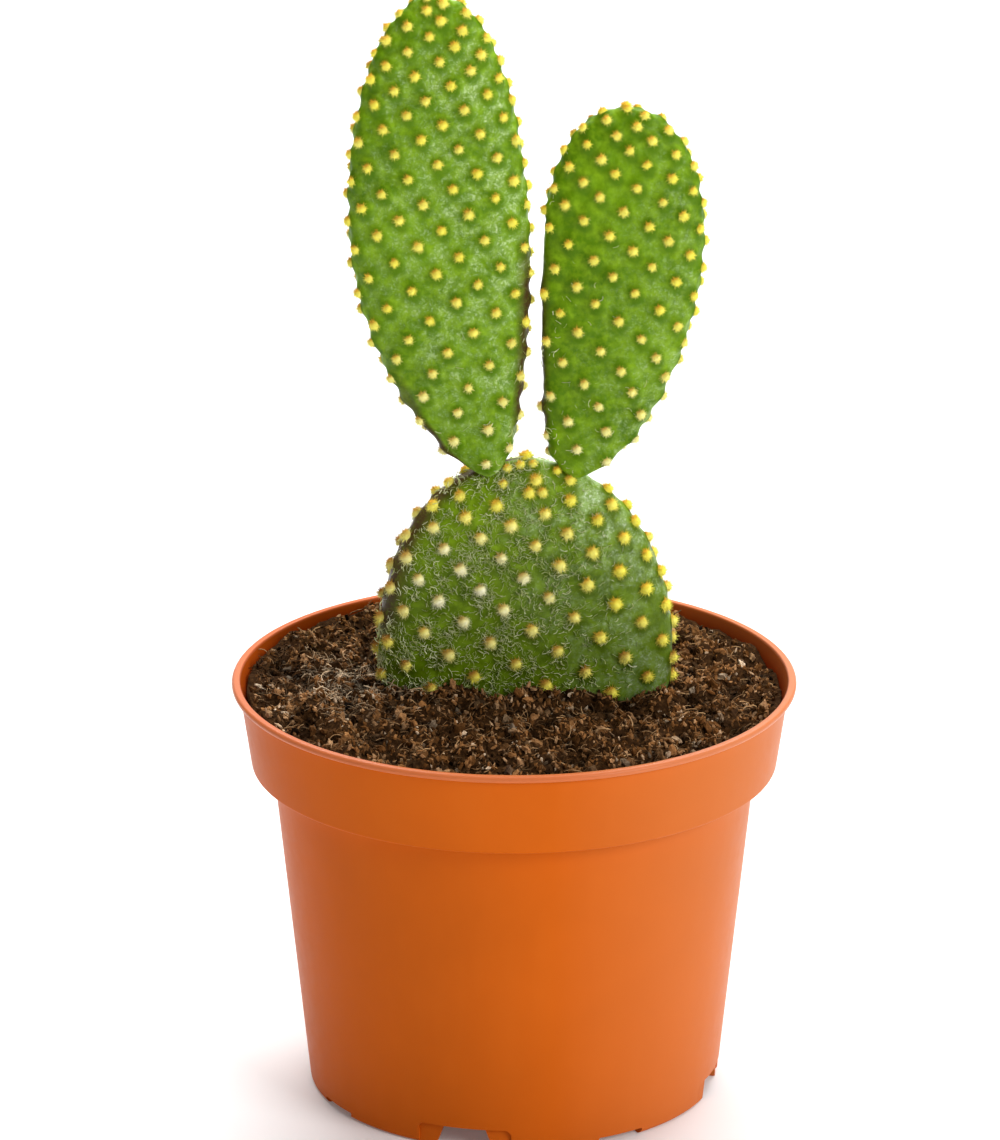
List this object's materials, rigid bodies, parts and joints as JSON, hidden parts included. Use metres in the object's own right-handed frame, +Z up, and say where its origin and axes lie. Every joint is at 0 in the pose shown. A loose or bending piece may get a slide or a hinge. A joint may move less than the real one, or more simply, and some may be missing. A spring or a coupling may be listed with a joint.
{
  "type": "potted paddle cactus",
  "caption": "Small paddle cactus with a base pad and upper ear pads covered in golden bristle tufts, rooted in peat in a tapered plastic nursery pot with a collar.",
  "frame": {"origin": "centre of the pot's foot ring, on the surface that the pot stands on", "axes": "+Z up, -Y to the front that the broad faces of the pads look to, +X to the viewer's right from there"},
  "size_m": [0.12, 0.12, 0.2407],
  "materials": {
    "pot_plastic": "satin moulded terracotta-orange plastic",
    "peat": "matt crumbly brown peat with pale fibres",
    "root_bark": "matt brown bark",
    "old_pad_skin": "waxy dark green skin with pale hairs",
    "young_pad_skin": "waxy bright green skin with a pale bloom",
    "glochid": "golden yellow bristles, orange-brown at their base"
  },
  "bodies": {
    "root": {"pot": "pot_plastic", "soil": "peat", "roots": "root_bark", "base_pad": "old_pad_skin", "left_ear_pad": "young_pad_skin", "right_ear_pad": "young_pad_skin"}
  },
  "joints": []
}
